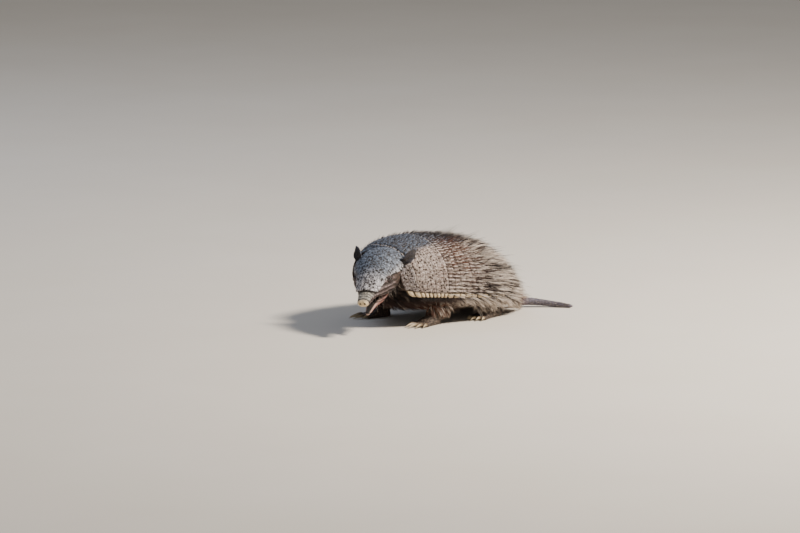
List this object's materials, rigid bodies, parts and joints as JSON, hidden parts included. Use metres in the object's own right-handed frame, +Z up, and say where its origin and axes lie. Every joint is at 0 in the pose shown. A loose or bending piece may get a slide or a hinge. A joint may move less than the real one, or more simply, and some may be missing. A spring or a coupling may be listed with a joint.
{
  "type": "hairy armadillo",
  "caption": "Life-size still model of a hairy armadillo: it stands with its head lowered and turned to its left, its jaw a little open and its tail laid on the ground behind it.",
  "frame": {"origin": "on the floor, under the centre of the whole model's bounding box", "axes": "+X to the animal's left, +Y from head to tail, +Z up"},
  "size_m": [0.1607, 0.3696, 0.114],
  "materials": {
    "armour": "horny scutes, matt with a dull sheen on the raised parts",
    "hide": "bare wrinkled skin, matt",
    "fur": "coarse brown hair with cream tips",
    "tail_scales": "rings of small horny scales, matt",
    "ear_skin": "thin leathery skin, finely granular",
    "claw": "horn, smooth and a little worn",
    "eye": "wet and glossy"
  },
  "bodies": {
    "root": {"nape_band": "armour", "shoulder_shield": "armour", "band_1": "armour", "band_2": "armour", "band_3": "armour", "band_4": "armour", "band_5": "armour", "band_6": "armour", "band_7": "armour", "pelvic_shield": "armour", "head_shield": "armour", "trunk": "fur", "neck": "fur", "foreleg_left": "fur", "foreleg_right": "fur", "hindleg_left": "fur", "hindleg_right": "fur", "head": "hide", "lower_jaw": "hide", "forefoot_left": "hide", "forefoot_right": "hide", "hindfoot_left": "hide", "hindfoot_right": "hide", "tail_base": "tail_scales", "tail_tip": "tail_scales", "ear_left": "ear_skin", "ear_right": "ear_skin", "eye_left": "eye", "eye_right": "eye", "foreclaw_left_1": "claw", "foreclaw_left_2": "claw", "foreclaw_left_3": "claw", "foreclaw_left_4": "claw", "foreclaw_left_5": "claw", "foreclaw_right_1": "claw", "foreclaw_right_2": "claw", "foreclaw_right_3": "claw", "foreclaw_right_4": "claw", "foreclaw_right_5": "claw", "hindclaw_left_1": "claw", "hindclaw_left_2": "claw", "hindclaw_left_3": "claw", "hindclaw_left_4": "claw", "hindclaw_left_5": "claw", "hindclaw_right_1": "claw", "hindclaw_right_2": "claw", "hindclaw_right_3": "claw", "hindclaw_right_4": "claw", "hindclaw_right_5": "claw"}
  },
  "joints": []
}
